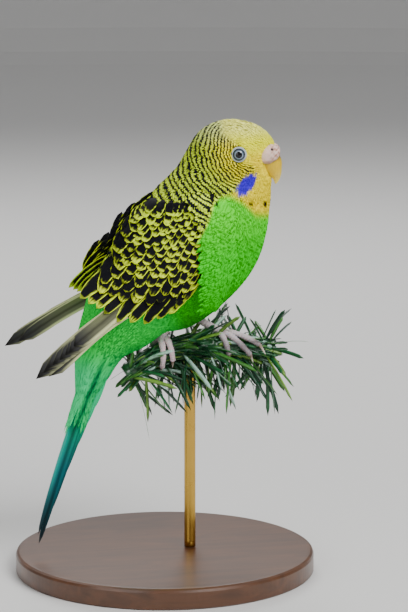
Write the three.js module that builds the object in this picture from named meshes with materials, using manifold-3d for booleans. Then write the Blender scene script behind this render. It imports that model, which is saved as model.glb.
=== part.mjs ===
// A life-size budgerigar standing along a cut length of artificial fir branch, on a plain display stand.
// Millimetres, +Z up. The bird faces +X and its right side is towards -Y.
// The origin is the centre of the stand's underside, so Z is the height above the table.
import * as THREE from "three";
import { mergeVertices } from "three/addons/utils/BufferGeometryUtils.js";
import Module from "manifold-3d";

const wasm = await Module();
wasm.setup();

const GAP = 0.3; // left between two pieces that meet
const V = (x, y, z) => new THREE.Vector3(x, y, z);
const { clamp, lerp, smoothstep, degToRad } = THREE.MathUtils;

// Driving sizes: stand and branch
const BASE_RADIUS = 58;
const BASE_THICK = 8;
const BASE_EDGE = 1.2; // chamfer round the top of the base
const ROD_RADIUS = 2.2;
const ROD_X = 10;
const BRANCH_RADIUS = 4.2;
const BRANCH_AXIS = [V(-15, 0, 77.6), V(-6, 0, 83.4), V(6, 0, 86.9), V(24, 0, 86.9), V(43, 0, 84.6)];

// Driving sizes: body. Each row is one cross-section, from the end of the tail coverts up to the eyes:
// its centre's x and z, its half depth from back to belly, its half width from side to side, and how much
// narrower it is in front than behind, as a share of the half width.
const BODY = [
  { x: -31.2, z: 70.5, depth: 3.4, width: 5.6, taper: 0 },
  { x: -28.4, z: 79.5, depth: 6.6, width: 8, taper: 0 },
  { x: -24.3, z: 90.6, depth: 10.3, width: 10.6, taper: 0 },
  { x: -17.8, z: 99.4, depth: 15.2, width: 13.4, taper: 0 },
  { x: -11.4, z: 107.3, depth: 18.4, width: 15.8, taper: 0 },
  { x: -2.9, z: 114.5, depth: 23.2, width: 17.6, taper: 0 },
  { x: 5.6, z: 122.2, depth: 24.8, width: 18.5, taper: 0 },
  { x: 13.6, z: 130.6, depth: 24.9, width: 18.4, taper: 0 },
  { x: 18.8, z: 139.6, depth: 23, width: 17.2, taper: 0.02 },
  { x: 22.2, z: 147.6, depth: 20.2, width: 15.2, taper: 0.1 },
  { x: 24.4, z: 154.4, depth: 18, width: 13.9, taper: 0.26 },
  { x: 26.8, z: 161.4, depth: 16.6, width: 13.2, taper: 0.36 },
];
const CROWN = V(6.6, 0, 12.9); // from the last section's centre to the top of the crown
const BODY_SIDES = 28;
const BODY_ROWS = 30;
const CROWN_ROWS = 5;
const TAIL_CUT = 2.35; // where the body is parted, counted in rows of BODY
const NECK_CUT = 8.3;
const HEAD_CUT = 9.75;

// Driving sizes: head. It is turned a little to the bird's right, about an upright axis.
const HEAD_TURN = degToRad(-14);
const TURN_X = 23;
const TURN_FROM = 136; // the neck starts to turn at this height
const TURN_TO = 157;
const FACE = { x: 42, z: 161, narrow: 0.42, from: 2, to: 12 }; // mm from the bill, and the share it narrows by
const EYE = { x: 29.2, z: 163.1, radius: 2.7, sunk: 1.1 };
const LID = { radius: 2.95, thick: 0.5 };

// Driving sizes: folded wing, as distances along it (p, from the wrist) and across it (q, towards the back)
const WRIST = { x: 18, z: 133 };
const WING_SLOPE = degToRad(34); // how far the folded wing points below level
const WING_LENGTH = 86;
const LEFT_WING_RAISE = degToRad(3.4); // the left wing is held a little higher and further back
const WING_HUG = 1.7; // from the torso's side to the outer face of the wing
const WING_SPREAD_FROM = 30; // from here back the wing leaves the narrowing body
const WING_SPREAD = { near: 12, tip: 25 }; // its distance from the middle plane there and at its tip
const WING_CURL = 0.034; // how fast its upper edge curls in over the back, per mm
const BASE_FEATHER = 0.6; // thickness of a vane

// Driving sizes: tail
const TAIL_ROOT = V(-19, 0, 101);
const TAIL_BEND = V(-35.5, 0, 63);
const TAIL_TIP = V(-50, 0, 13);
const TAIL_LENGTHS = [1, 0.87, 0.72, 0.6, 0.5, 0.42]; // each pair, middle pair first, as a share of the longest
const TAIL_VANE = 5; // width of one tail feather

// A closed solid from a geometry; one that was wound inside out is turned round.
function solid(geometry) {
  const bare = new THREE.BufferGeometry().setAttribute("position", geometry.getAttribute("position"));
  if (geometry.index) bare.setIndex(geometry.index);
  const merged = mergeVertices(bare, 1e-4);
  const make = (triVerts) =>
    new wasm.Manifold(
      new wasm.Mesh({ numProp: 3, vertProperties: merged.attributes.position.array, triVerts }),
    );
  const faces = new Uint32Array(merged.index.array);
  const made = make(faces);
  return made.volume() > 0 ? made : make(faces.reverse());
}

function geometryOf(made) {
  const mesh = made.getMesh();
  const xyz = new Float32Array(mesh.numVert * 3);
  for (let i = 0; i < mesh.numVert; i++)
    xyz.set(mesh.vertProperties.subarray(i * mesh.numProp, i * mesh.numProp + 3), i * 3);
  return new THREE.BufferGeometry()
    .setAttribute("position", new THREE.BufferAttribute(xyz, 3))
    .setIndex(new THREE.BufferAttribute(new Uint32Array(mesh.triVerts), 1));
}

const joined = (solids) => solids.reduce((a, b) => a.add(b));
const largest = (made) => made.decompose().sort((a, b) => b.volume() - a.volume())[0];

// A closed skin over rings of equally many points, each end closed by a fan to its middle.
function loft(rings) {
  const sides = rings[0].length;
  const middle = (ring) => ring.reduce((sum, p) => sum.add(p), V(0, 0, 0)).divideScalar(sides);
  const points = [...rings.flat(), middle(rings[0]), middle(rings.at(-1))];
  const at = (i, j) => i * sides + (j % sides);
  const first = rings.length * sides;
  const faces = [];
  for (let j = 0; j < sides; j++) {
    for (let i = 0; i + 1 < rings.length; i++) {
      faces.push(at(i, j), at(i, j + 1), at(i + 1, j));
      faces.push(at(i + 1, j), at(i, j + 1), at(i + 1, j + 1));
    }
    faces.push(at(0, j + 1), at(0, j), first);
    faces.push(at(rings.length - 1, j), at(rings.length - 1, j + 1), first + 1);
  }
  return new THREE.BufferGeometry().setFromPoints(points).setIndex(faces);
}

// A round tube through stations { at, radius }; `side` is any direction not along its first stretch, and
// each ring's first direction is carried over from the ring before, so that the tube doesn't twist.
function tube(stations, sides = 8, side = V(0, 1, 0)) {
  const across = side.clone();
  const rings = stations.map((s, i) => {
    const before = stations[Math.max(i - 1, 0)].at;
    const after = stations[Math.min(i + 1, stations.length - 1)].at;
    const along = after.clone().sub(before).normalize();
    across.addScaledVector(along, -along.dot(across)).normalize();
    const deep = V(0, 0, 0).crossVectors(along, across);
    return Array.from({ length: sides }, (_, j) => {
      const turn = (2 * Math.PI * j) / sides;
      return s.at
        .clone()
        .addScaledVector(across, s.radius * Math.cos(turn))
        .addScaledVector(deep, s.radius * Math.sin(turn));
    });
  });
  return solid(loft(rings));
}

const moved = (geometry, at) => geometry.translate(at.x, at.y, at.z);

// The body: sections square to a smooth spine, with a rounded crown on the last one

const smoothCurve = (points) => new THREE.CatmullRomCurve3(points, false, "catmullrom");
const bodySpine = smoothCurve(BODY.map((s) => V(s.x, 0, s.z)));
const bodySizes = smoothCurve(BODY.map((s) => V(s.depth, s.width, s.taper)));

function section(row) {
  const t = clamp(row / (BODY.length - 1), 0, 1);
  const centre = bodySpine.getPoint(t);
  const along = bodySpine.getTangent(t);
  const size = bodySizes.getPoint(t);
  const back = V(-along.z, 0, along.x);
  return { centre, along, back, depth: size.x, width: size.y, taper: size.z };
}

// The face narrows towards the bill.
function narrowFace(p) {
  const away = Math.hypot(p.x - FACE.x, (p.z - FACE.z) / 1.15);
  return V(p.x, p.y * (1 - FACE.narrow * (1 - smoothstep(away, FACE.from, FACE.to))), p.z);
}

function turnHead(point, whole = false) {
  const share = whole ? 1 : smoothstep(point.z, TURN_FROM, TURN_TO);
  const x = point.x - TURN_X;
  const c = Math.cos(HEAD_TURN * share);
  const s = Math.sin(HEAD_TURN * share);
  return V(TURN_X + x * c - point.y * s, x * s + point.y * c, point.z);
}

function ringAt({ centre, back, depth, width, taper }, grow) {
  return Array.from({ length: BODY_SIDES }, (_, j) => {
    const turn = (2 * Math.PI * j) / BODY_SIDES;
    return centre
      .clone()
      .addScaledVector(back, (depth + grow) * Math.cos(turn))
      .add(V(0, (width * (1 + taper * Math.cos(turn)) + grow) * Math.sin(turn), 0));
  });
}

function bodySolid(grow = 0) {
  const rings = [];
  for (let i = 0; i <= BODY_ROWS; i++)
    rings.push(ringAt(section((i * (BODY.length - 1)) / BODY_ROWS), grow));
  const last = section(BODY.length - 1);
  for (let i = 1; i <= CROWN_ROWS; i++) {
    const rise = (Math.PI / 2) * Math.min(i / CROWN_ROWS, 0.97);
    rings.push(
      ringAt(
        {
          centre: last.centre.clone().addScaledVector(CROWN, Math.sin(rise) * (1 + grow / CROWN.z)),
          back: last.back,
          depth: last.depth * Math.cos(rise),
          width: last.width * Math.cos(rise),
          taper: last.taper * (1 - Math.sin(rise)),
        },
        grow,
      ),
    );
  }
  return solid(loft(rings.map((ring) => ring.map((p) => turnHead(narrowFace(p))))));
}

// Half the body's width at a point of its middle plane, or 0 outside it, and how far outside.
const spineSamples = Array.from({ length: 111 }, (_, i) => section(i / 10));

function bodySide(x, z) {
  const p = V(x, 0, z);
  const near = spineSamples.reduce((a, b) =>
    a.centre.distanceToSquared(p) < b.centre.distanceToSquared(p) ? a : b,
  );
  const off = p.sub(near.centre).dot(near.back) / near.depth;
  return near.width * (1 + near.taper * off) * Math.sqrt(Math.max(0, 1 - off * off));
}

function cutAcross(row) {
  const { centre, along } = section(row);
  const slab = new THREE.BoxGeometry(90, 90, GAP);
  slab.applyQuaternion(new THREE.Quaternion().setFromUnitVectors(V(0, 0, 1), along));
  return solid(moved(slab, centre));
}

const body = bodySolid();
const grownBody = bodySolid(GAP);
const [tailCone, torso, neck, bareHead] = body
  .subtract(joined([TAIL_CUT, NECK_CUT, HEAD_CUT].map(cutAcross)))
  .decompose()
  .sort((a, b) => a.boundingBox().max[2] - b.boundingBox().max[2]);

// The head: bill, cere with its nostrils, eyes and lids

const inHead = (geometry) => {
  const place = geometry.getAttribute("position");
  for (let i = 0; i < place.count; i++) {
    const p = turnHead(V(0, 0, 0).fromBufferAttribute(place, i), true);
    place.setXYZ(i, p.x, p.y, p.z);
  }
  return solid(geometry);
};

function billSolid(rows, grow = 0) {
  const rings = rows.map(([x, z, depth, width], i) => {
    const a = rows[Math.max(i - 1, 0)];
    const b = rows[Math.min(i + 1, rows.length - 1)];
    const along = V(b[0] - a[0], 0, b[1] - a[1]).normalize();
    return Array.from({ length: 14 }, (_, j) => {
      const turn = (2 * Math.PI * j) / 14;
      return V(x, 0, z)
        .addScaledVector(V(-along.z, 0, along.x), (depth + grow) * Math.cos(turn))
        .add(V(0, (width + grow) * Math.sin(turn), 0));
    });
  });
  const start = V(rows[0][0] - rows[1][0], 0, rows[0][1] - rows[1][1]).normalize();
  rings[0].forEach((p) => p.addScaledVector(start, grow));
  rings.at(-1).forEach((p) => p.addScaledVector(start, -grow));
  return inHead(loft(rings));
}

// Rows of the bill: x, z, half depth, half width, from its root to its tip
const UPPER_BILL = [
  [40.6, 162.2, 3.0, 3.9],
  [41.6, 159.4, 3.6, 4.2],
  [42.5, 156.8, 3.3, 3.6],
  [43.2, 154.4, 2.3, 2.5],
  [43.5, 152.4, 1.3, 1.2],
  [43.2, 150.6, 0.3, 0.3],
];
const LOWER_BILL = [
  [36.4, 158.4, 2.0, 3.2],
  [38.0, 155.6, 2.0, 2.9],
  [39.7, 153.4, 1.6, 2.2],
  [41.2, 152.0, 0.7, 1.1],
];
const CERE = { x: 40.6, z: 162.2, side: 2.8, radii: [4.2, 3.3, 4.0] };
const NOSTRIL = { x: 41.6, z: 164.8, radius: 0.5 };

function cereSolid(grow = 0) {
  const lobes = [-1, 1].map((s) => {
    const lobe = new THREE.SphereGeometry(1, 10, 8);
    lobe.scale(...CERE.radii.map((r) => r + grow));
    return inHead(moved(lobe, V(CERE.x, s * CERE.side, CERE.z)));
  });
  return joined(lobes);
}

const sides = [
  ["right", -1],
  ["left", 1],
];
const eyeY = bodySide(EYE.x, Math.min(EYE.z, BODY.at(-1).z)) * 0.985;
const eyeAt = (s) => V(EYE.x, s * (eyeY - EYE.sunk), EYE.z);

const eyeball = (s, grow = 0) =>
  inHead(moved(new THREE.SphereGeometry(EYE.radius + grow, 14, 10), eyeAt(s)));

function lidRing(s) {
  const ring = new THREE.TorusGeometry(LID.radius, LID.thick, 5, 14).rotateX(Math.PI / 2);
  return inHead(moved(ring, V(EYE.x, s * (eyeY - 0.15), EYE.z)));
}

function nostril(s) {
  const hole = new THREE.CylinderGeometry(NOSTRIL.radius, NOSTRIL.radius, 4, 8);
  return inHead(moved(hole, V(NOSTRIL.x, s * (CERE.side + CERE.radii[1]), NOSTRIL.z)));
}

const upperBill = billSolid(UPPER_BILL);
const lowerBill = largest(billSolid(LOWER_BILL).subtract(billSolid(UPPER_BILL, GAP)));
const cere = largest(
  cereSolid().subtract(billSolid(UPPER_BILL, GAP)).subtract(joined(sides.map(([, s]) => nostril(s)))),
);
const head = largest(
  joined([bareHead, ...sides.map(([, s]) => lidRing(s))])
    .subtract(joined(sides.map(([, s]) => eyeball(s, GAP))))
    .subtract(joined([cereSolid(GAP), billSolid(UPPER_BILL, GAP), billSolid(LOWER_BILL, GAP)])),
);

// A vane laid on a surface, which gives a point and a normal for each (p, q). It widens from its root,
// narrows to a rounded tip, and both faces are split into triangles alike.
function vane(surface, feather) {
  const { root, tip, width, bow = 0, rootLift, tipLift, roll = 0, round = 0.35 } = feather;
  const { rows = 5, columns = 2, thick = BASE_FEATHER } = feather;
  const run = [tip[0] - root[0], tip[1] - root[1]];
  const length = Math.hypot(...run);
  const across = [-run[1] / length, run[0] / length];
  const outer = [];
  const inner = [];
  for (let i = 0; i <= rows; i++) {
    const s = 1 - (1 - i / rows) ** 1.25;
    const opening = lerp(0.6, 1, clamp(s / 0.4, 0, 1));
    const closing = Math.sqrt(Math.max(0, 1 - clamp((s - 1 + round) / round, 0, 1) ** 2));
    const half = (width / 2) * Math.max(opening * closing, 0.14);
    for (let j = 0; j <= columns; j++) {
      const share = (2 * j) / columns - 1;
      const shift = bow * Math.sin(Math.PI * s) + half * share;
      const on = surface(root[0] + run[0] * s + across[0] * shift, root[1] + run[1] * s + across[1] * shift);
      const lift = lerp(rootLift, tipLift, s) + roll * share;
      outer.push(on.point.clone().addScaledVector(on.normal, lift));
      inner.push(on.point.clone().addScaledVector(on.normal, lift - thick));
    }
  }
  const wide = columns + 1;
  const under = outer.length;
  const faces = [];
  for (let i = 0; i < rows; i++)
    for (let j = 0; j < columns; j++) {
      const a = i * wide + j;
      faces.push(a, a + 1, a + wide, a + wide, a + 1, a + wide + 1);
      const b = a + under;
      faces.push(b + 1, b, b + wide, b + 1, b + wide, b + wide + 1);
    }
  const rim = [];
  for (let j = 0; j < columns; j++) rim.push(j);
  for (let i = 0; i < rows; i++) rim.push(i * wide + columns);
  for (let j = columns; j > 0; j--) rim.push(rows * wide + j);
  for (let i = rows; i > 0; i--) rim.push(i * wide);
  rim.forEach((a, k) => {
    const b = rim[(k + 1) % rim.length];
    faces.push(b, a, a + under, b, a + under, b + under);
  });
  return solid(new THREE.BufferGeometry().setFromPoints([...outer, ...inner]).setIndex(faces));
}

// Gives a surface its outward normals, from small steps along p and q.
function withNormals(place, outwards) {
  return (p, q) => {
    const point = place(p, q);
    const dp = place(p + 0.5, q).sub(point);
    const dq = place(p, q + 0.5).sub(point);
    const normal = V(0, 0, 0).crossVectors(dp, dq).normalize();
    return { point, normal: normal.dot(outwards) < 0 ? normal.negate() : normal };
  };
}

// The wings: vanes in tiers over a curved plate, on a surface that hugs the body's side and then leaves it

const softMax = (a, b, blend) => (a + b + Math.hypot(a - b, blend)) / 2;

function wingSurface(s) {
  const slope = WING_SLOPE - (s > 0 ? LEFT_WING_RAISE : 0);
  const place = (p, q) => {
    const x = WRIST.x - p * Math.cos(slope) - q * Math.sin(slope);
    const z = WRIST.z - p * Math.sin(slope) + q * Math.cos(slope);
    const share = (p - WING_SPREAD_FROM) / (WING_LENGTH - WING_SPREAD_FROM);
    const free = lerp(WING_SPREAD.near, WING_SPREAD.tip, share) - WING_CURL * Math.max(0, q + 2) ** 2;
    return V(x, s * softMax(bodySide(x, z) + WING_HUG, free, 3), z);
  };
  return withNormals(place, V(0, s, 0));
}

const share = (k, count) => k / (count - 1);

// Each tier runs from the lower, outer feather (k = 0) to the one nearest the back.
const TIERS = [
  {
    name: "primaries",
    count: 8,
    make: (k, t) => ({
      root: [16 + 2.2 * k, -8.5 + 1.3 * k],
      tip: [k === 0 ? 79 : 89.5 - 3.5 * k, k === 0 ? -4.5 : -1.2 + 0.15 * k],
      width: 7.2,
      bow: 4.2 - 0.8 * k,
      rootLift: -1.3,
      tipLift: -1.6 + 1.5 * t,
      roll: -0.35,
      round: 0.16,
      rows: 5,
    }),
  },
  {
    name: "secondaries",
    count: 8,
    make: (k, t) => ({
      root: [20 + 1.5 * k, -8 + 2.6 * k],
      tip: [43 + 17 * t ** 0.8 - 6 * t ** 4, -10.2 + 20.5 * t],
      width: 6.4,
      bow: 1.2 - 1.6 * t,
      rootLift: -0.7,
      tipLift: -0.2 + 0.5 * t,
      roll: -0.4,
      rows: 4,
    }),
  },
  {
    name: "greater_coverts",
    count: 7,
    make: (k, t) => ({
      root: [14 + 2.2 * k, -7 + 3 * k],
      tip: [27.5 + 19.5 * t ** 0.8 - 3 * t ** 4, -8.4 + 21 * t],
      width: 6.4,
      rootLift: -0.3,
      tipLift: 0.65,
      roll: -0.3,
      rows: 3,
    }),
  },
  {
    name: "median_coverts",
    count: 6,
    make: (k, t) => ({
      root: [12 + 2.0 * k, -5.5 + 3.4 * k],
      tip: [21.5 + 16.5 * t, -7.4 + 20.5 * t],
      width: 6.2,
      rootLift: 0,
      tipLift: 1.0,
      roll: -0.25,
      rows: 3,
      columns: 1,
    }),
  },
  {
    name: "lesser_coverts",
    count: 5,
    make: (k, t) => ({
      root: [6.5 + 2.0 * k, -3 + 3.4 * k],
      tip: [15 + 15 * t, -5.6 + 19.5 * t],
      width: 6,
      rootLift: 0.1,
      tipLift: 1.2,
      roll: -0.2,
      rows: 3,
      columns: 1,
    }),
  },
];

// The flesh and close feathers of the wing: a plate with an egg-shaped outline.
function wingPlate(surface) {
  const rows = 9;
  const columns = 5;
  const from = 6;
  const to = 56;
  const faceAt = (deep) => {
    const points = [];
    for (let i = 0; i <= rows; i++) {
      const p = lerp(from, to, i / rows);
      const low = -10.5 * Math.sqrt(Math.max(0.04, 1 - ((p - 32) / 27) ** 2));
      const high = 15 * Math.sqrt(Math.max(0.04, 1 - ((p - 26) / 32) ** 2));
      for (let j = 0; j <= columns; j++) {
        const on = surface(p, lerp(low, high, j / columns));
        const thin = deep * lerp(1, 0.35, i / rows);
        points.push(on.point.addScaledVector(on.normal, deep ? -0.4 - thin : -0.4));
      }
    }
    return points;
  };
  const outer = faceAt(0);
  const inner = faceAt(3.2);
  const wide = columns + 1;
  const under = outer.length;
  const faces = [];
  for (let i = 0; i < rows; i++)
    for (let j = 0; j < columns; j++) {
      const a = i * wide + j;
      faces.push(a, a + 1, a + wide, a + wide, a + 1, a + wide + 1);
      const b = a + under;
      faces.push(b + 1, b, b + wide, b + 1, b + wide, b + wide + 1);
    }
  const rim = [];
  for (let j = 0; j < columns; j++) rim.push(j);
  for (let i = 0; i < rows; i++) rim.push(i * wide + columns);
  for (let j = columns; j > 0; j--) rim.push(rows * wide + j);
  for (let i = rows; i > 0; i--) rim.push(i * wide);
  rim.forEach((a, k) => {
    const b = rim[(k + 1) % rim.length];
    faces.push(b, a, a + under, b, a + under, b + under);
  });
  return solid(new THREE.BufferGeometry().setFromPoints([...outer, ...inner]).setIndex(faces));
}

function wing(s) {
  const surface = wingSurface(s);
  const vanes = TIERS.flatMap(({ count, make }) =>
    Array.from({ length: count }, (_, k) => {
      const feather = make(k, share(k, count));
      return vane(surface, feather);
    }),
  );
  return largest(joined([wingPlate(surface), ...vanes]).subtract(grownBody));
}

// The tail: the cone of coverts that ends the body, six pairs of tail feathers, and covert vanes over it

const tailCurve = new THREE.QuadraticBezierCurve3(TAIL_ROOT, TAIL_BEND, TAIL_TIP);
const TAIL_ARCH = 0.045; // how far the closed tail droops to its sides, per mm
const TAIL_TWIST = degToRad(26); // how far its upper face is turned to the bird's right, and from where
const TAIL_TWIST_OVER = 50;

const tailLength = tailCurve.getLength();

// p runs along the tail and q across it, both in mm.
const tailSurface = withNormals((p, q) => {
  const t = Math.min(p / tailLength, 1);
  const along = tailCurve.getTangent(t);
  const twist = TAIL_TWIST * smoothstep(p, 0, TAIL_TWIST_OVER);
  const [c, d] = [Math.cos(twist), Math.sin(twist)];
  const droop = TAIL_ARCH * q * q;
  return tailCurve
    .getPoint(t)
    .addScaledVector(along, p - t * tailLength)
    .addScaledVector(V(along.z, 0, -along.x), q * d - droop * c)
    .add(V(0, q * c + droop * d, 0));
}, V(-1, 0, 0.3));

function tailFeather(pair, s) {
  const level = 0.5 - 0.44 * pair - (s > 0 ? 0 : 0.21); // no two feathers share a level
  return vane(tailSurface, {
    root: [8, s * (0.7 + 0.5 * pair)],
    tip: [tailLength * (TAIL_LENGTHS[pair] - (pair === 0 && s > 0 ? 0.03 : 0)), s * (0.8 + 0.8 * pair)],
    width: TAIL_VANE,
    rootLift: level,
    tipLift: level,
    round: pair === 0 ? 0.55 : 0.35,
    rows: 6,
  });
}

const tail = largest(
  joined([
    tailCone,
    ...sides.flatMap(([, s]) => TAIL_LENGTHS.map((_, pair) => tailFeather(pair, s))),
  ]).subtract(joined([torso, cutAcross(TAIL_CUT)])),
);

// The legs: feathered thighs, bare feet with two toes forward and two back, and claws

const FOOT = { shank: 1.4, toe: 1.25, toeTip: 0.95, claw: 0.72 };
const branchCurve = smoothCurve(BRANCH_AXIS);

// The branch's axis at a given x.
function branchAt(x) {
  const first = BRANCH_AXIS[0].x;
  const last = BRANCH_AXIS.at(-1).x;
  let t = clamp((x - first) / (last - first), 0, 1);
  for (let i = 0; i < 8; i++) t = clamp(t + (x - branchCurve.getPoint(t).x) / (last - first), 0, 1);
  return branchCurve.getPoint(t);
}

// A point on a toe's middle line: at x along the branch, at an angle round it from straight up,
// positive towards the right side (-Y).
function gripPoint(x, degrees, off) {
  const turn = degToRad(degrees);
  const reach = BRANCH_RADIUS + GAP + off;
  return branchAt(x).add(V(0, -reach * Math.sin(turn), reach * Math.cos(turn)));
}

// Each toe: where it starts and ends along the branch (x) and round it (degrees), and its claw's curl.
const FEET = {
  right: {
    hip: V(1.5, -6.0, 98.5),
    ankle: V(-0.6, -0.9, 93.3),
    toes: [
      { from: [0.4, 12], to: [2.2, 118] },
      { from: [-1.6, 12], to: [-1.8, 136] },
      { from: [-2.2, -18], to: [-6.2, -112] },
      { from: [0.9, -18], to: [3.2, -138] },
    ],
  },
  left: {
    hip: V(10.5, 5.0, 99.5),
    ankle: V(22.0, 0.8, 93.0),
    toes: [
      { from: [23.6, 14], to: [32.6, 104] },
      { from: [23.9, -6], to: [36.4, 62] },
      { from: [21.6, 16], to: [24.2, 108] },
      { from: [21.8, -22], to: [19.4, -116] },
    ],
  },
};

function toePath({ from, to }, steps = 7) {
  return Array.from({ length: steps }, (_, i) => {
    const t = i / (steps - 1);
    const radius = lerp(FOOT.toe, FOOT.toeTip, t) * (1 + 0.07 * Math.cos(t * 6 * Math.PI));
    return {
      at: gripPoint(lerp(from[0], to[0], t), lerp(from[1], to[1], t), FOOT.toe + 0.06),
      radius,
    };
  });
}

const toe = (spec, ankle) => tube([{ at: ankle, radius: FOOT.toe }, ...toePath(spec)], 8, V(0.3, 0.2, 1));

function claw(spec) {
  const sense = Math.sign(spec.to[1] - spec.from[1]);
  const stations = [0, 0.4, 0.75, 1].map((t) => {
    const off = FOOT.toe + 0.06 - 0.35 * t + 1.3 * t * t;
    const x = lerp(spec.to[0], spec.to[0] + (spec.to[0] - spec.from[0]) * 0.16, t);
    return {
      at: gripPoint(x, spec.to[1] + sense * (5.5 + 34 * t), off),
      radius: lerp(FOOT.claw, 0.14, t ** 1.2),
    };
  });
  return tube(stations, 7, V(1, 0, 0));
}

function footSolid({ hip, ankle, toes }) {
  const shank = tube(
    [
      { at: hip, radius: FOOT.shank },
      { at: hip.clone().lerp(ankle, 0.5), radius: FOOT.shank * 0.92 },
      { at: ankle, radius: FOOT.shank * 1.05 },
    ],
    10,
    V(0.3, 1, 0),
  );
  const knuckle = solid(moved(new THREE.SphereGeometry(1.75, 10, 8), ankle));
  return joined([shank, knuckle, ...toes.map((spec) => toe(spec, ankle))]);
}

const branch = tube(
  Array.from({ length: 15 }, (_, i) => ({ at: branchCurve.getPoint(i / 14), radius: BRANCH_RADIUS })),
  12,
);

// The stand: a round base and one rod up to the branch

const baseProfile = [
  new THREE.Vector2(0, 0),
  new THREE.Vector2(BASE_RADIUS, 0),
  new THREE.Vector2(BASE_RADIUS, BASE_THICK - BASE_EDGE),
  new THREE.Vector2(BASE_RADIUS - BASE_EDGE, BASE_THICK),
  new THREE.Vector2(0, BASE_THICK),
];
const base = solid(new THREE.LatheGeometry(baseProfile, 40).rotateX(Math.PI / 2));

function rodSolid() {
  const top = branchAt(ROD_X).z;
  const from = BASE_THICK + GAP;
  const rod = new THREE.CylinderGeometry(ROD_RADIUS, ROD_RADIUS, top - from, 16).rotateX(Math.PI / 2);
  const grownBranch = tube(
    Array.from({ length: 15 }, (_, i) => ({
      at: branchCurve.getPoint(i / 14),
      radius: BRANCH_RADIUS + GAP,
    })),
    12,
  );
  return largest(solid(moved(rod, V(ROD_X, 0, (top + from) / 2))).subtract(grownBranch));
}

// The scene graph

const root = new THREE.Group();

function add(name, made, colour, roughness, metalness = 0) {
  const mesh = new THREE.Mesh(
    geometryOf(made),
    new THREE.MeshStandardMaterial({ color: colour, roughness, metalness }),
  );
  mesh.name = name;
  mesh.geometry.computeVertexNormals();
  root.add(mesh);
}

const GREEN = "#3fce28";
const YELLOW = "#f4e22c";
const BARRED = "#8f9a34";
const SKIN = "#b9a3a6";
const HORN = "#cdbb52";

add("stand_base", base, "#2b2622", 0.45);
add("stand_rod", rodSolid(), "#b7a46a", 0.3, 1);
add("branch", branch, "#3c5a2c", 0.7);
add("torso", torso, GREEN, 0.75);
add("neck", neck, YELLOW, 0.75);
add("head", head, YELLOW, 0.75);
add("bill_upper", upperBill, HORN, 0.4);
add("bill_lower", lowerBill, HORN, 0.4);
add("cere", cere, "#e0cfc8", 0.5);
add("tail", tail, "#1f8f7c", 0.6);
for (const [side, s] of sides) {
  add(`eye_${side}`, eyeball(s), "#101010", 0.05);
  add(`wing_${side}`, wing(s), BARRED, 0.7);
  const foot = FEET[side];
  add(`foot_${side}`, largest(footSolid(foot).subtract(grownBody)), SKIN, 0.6);
  foot.toes.forEach((t, i) => add(`claw_${side}_${i + 1}`, claw(t), "#6d5f58", 0.35));
}

export default root;
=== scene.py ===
import bpy
import numpy as np
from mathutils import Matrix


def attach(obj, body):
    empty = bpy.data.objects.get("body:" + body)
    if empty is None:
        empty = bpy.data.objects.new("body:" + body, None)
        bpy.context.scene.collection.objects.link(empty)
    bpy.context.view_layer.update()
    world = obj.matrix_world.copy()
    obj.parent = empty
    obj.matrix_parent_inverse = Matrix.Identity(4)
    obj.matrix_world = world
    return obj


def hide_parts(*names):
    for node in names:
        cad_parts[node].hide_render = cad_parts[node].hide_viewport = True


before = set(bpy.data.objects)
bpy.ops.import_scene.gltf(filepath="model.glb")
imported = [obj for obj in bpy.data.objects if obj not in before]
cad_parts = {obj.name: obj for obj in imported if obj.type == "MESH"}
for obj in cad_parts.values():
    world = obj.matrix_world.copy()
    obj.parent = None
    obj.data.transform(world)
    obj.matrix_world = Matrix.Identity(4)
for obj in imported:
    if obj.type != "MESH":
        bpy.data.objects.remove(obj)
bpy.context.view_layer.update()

# The camera stands about a metre away, a little behind the bird's right side and a little above it.
# A long lens frames the bird as the photograph does: 235.6 mm of it fill the picture's height.
azimuth, elevation = np.radians(-13.0), np.radians(10.0)
camera_distance, framed_height = 1.0, 0.2356
back = np.array([np.sin(azimuth) * np.cos(elevation), -np.cos(azimuth) * np.cos(elevation), np.sin(elevation)])
framed_centre = np.array([0.0156, -0.0002, 0.1033])
camera = bpy.data.objects.new("camera", bpy.data.cameras.new("camera"))
bpy.context.scene.collection.objects.link(camera)
camera.data.lens = camera.data.sensor_width * camera_distance / framed_height
camera.location = framed_centre + back * camera_distance
camera.rotation_euler = (np.pi / 2 - elevation, 0, azimuth)
camera.data.clip_start = 0.05
bpy.context.scene.camera = camera


# The plumage is built on one smooth body: egg-shaped sections square to a spine that rises from the
# tail coverts to the eyes, with a rounded crown. Sizes are in mm: x, z, half depth, half width, and
# how much narrower the section is in front than behind.
BODY = np.array(
    [
        [-31.2, 70.5, 3.4, 5.6, 0],
        [-28.4, 79.5, 6.6, 8.0, 0],
        [-24.3, 90.6, 10.3, 10.6, 0],
        [-17.8, 99.4, 15.2, 13.4, 0],
        [-11.4, 107.3, 18.4, 15.8, 0],
        [-2.9, 114.5, 23.2, 17.6, 0],
        [5.6, 122.2, 24.8, 18.5, 0],
        [13.6, 130.6, 24.9, 18.4, 0],
        [18.8, 139.6, 23.0, 17.2, 0.02],
        [22.2, 147.6, 20.2, 15.2, 0.1],
        [24.4, 154.4, 18.0, 13.9, 0.26],
        [26.8, 161.4, 16.6, 13.2, 0.36],
    ]
)
TOP_ROW = len(BODY) - 1
CROWN = np.array([6.6, 12.9])  # x and z from the last section's centre to the top of the crown
HEAD_TURN, TURN_X, TURN_FROM, TURN_TO = np.radians(-14), 23.0, 136.0, 157.0
FACE_X, FACE_Z, FACE_NARROWS = 42.0, 161.0, 0.42  # the face is narrower round this point at the bill
COAT_DEPTH = 0.9


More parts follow.
